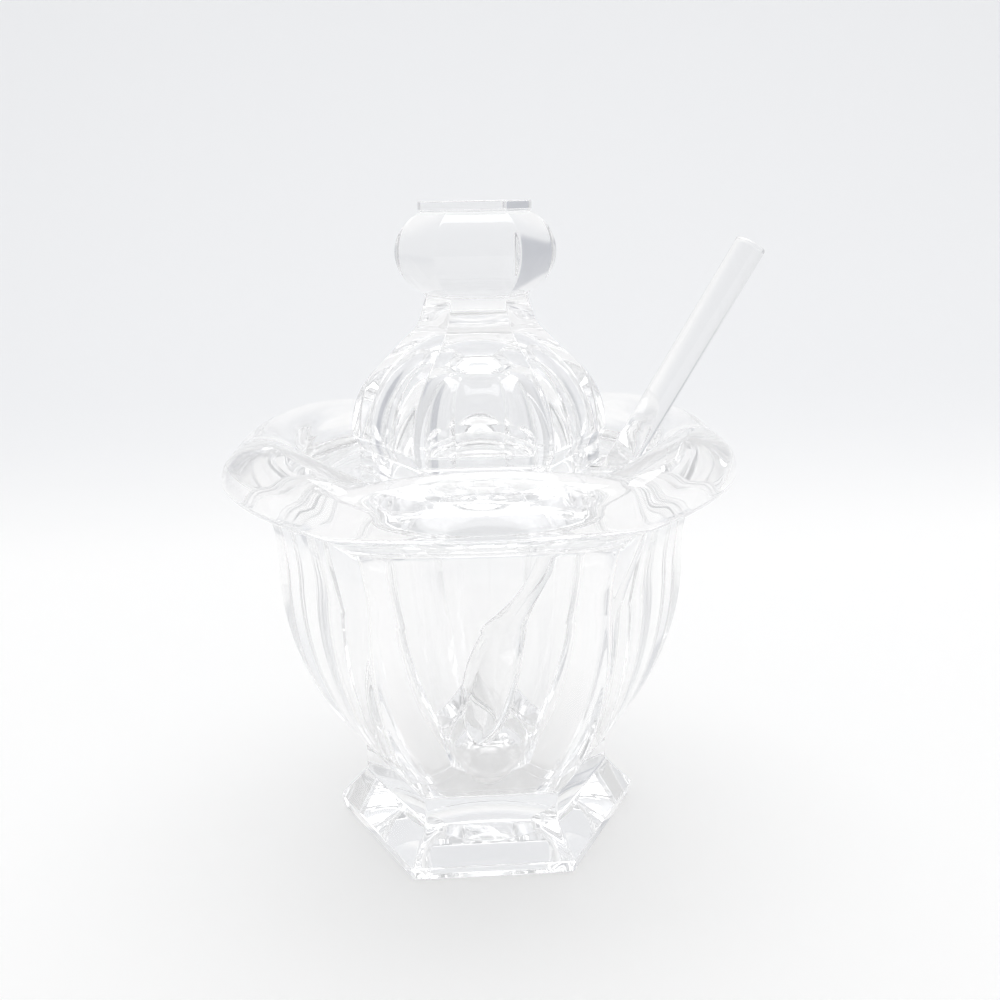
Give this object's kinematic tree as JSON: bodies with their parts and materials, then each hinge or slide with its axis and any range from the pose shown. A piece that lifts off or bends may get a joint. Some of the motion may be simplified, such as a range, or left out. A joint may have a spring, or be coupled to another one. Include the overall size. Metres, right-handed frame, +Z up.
{
  "type": "jam pot",
  "caption": "Covered crystal jam pot: hexagonal footed bowl with a rolled rim, a domed lid with a knob that lifts off its seat, and a glass spoon leaning out through a notch in the lid.",
  "frame": {"origin": "middle of the foot's underside, on the surface the pot stands on", "axes": "+Z up along the pot's axis; two corners of the hexagonal pot lie on the X axis, the spoon leans out towards +X, and the pictured side faces -Y"},
  "size_m": [0.1113, 0.1056, 0.1346],
  "materials": {
    "crystal": "polished clear cut crystal",
    "spoon_glass": "fire-polished clear glass"
  },
  "bodies": {
    "pot": {"pot": "crystal"},
    "lid": {"lid": "crystal"},
    "spoon": {"spoon": "spoon_glass"}
  },
  "joints": [
    {"name": "lid_lift", "type": "slide", "parent": "pot", "child": "lid", "axis": [0, 0, 1], "range_m": [0, 0.08]},
    {"name": "spoon_slide", "type": "slide", "parent": "pot", "child": "spoon", "axis": [0.5, 0, 0.866], "range_m": [0, 0.03]}
  ]
}
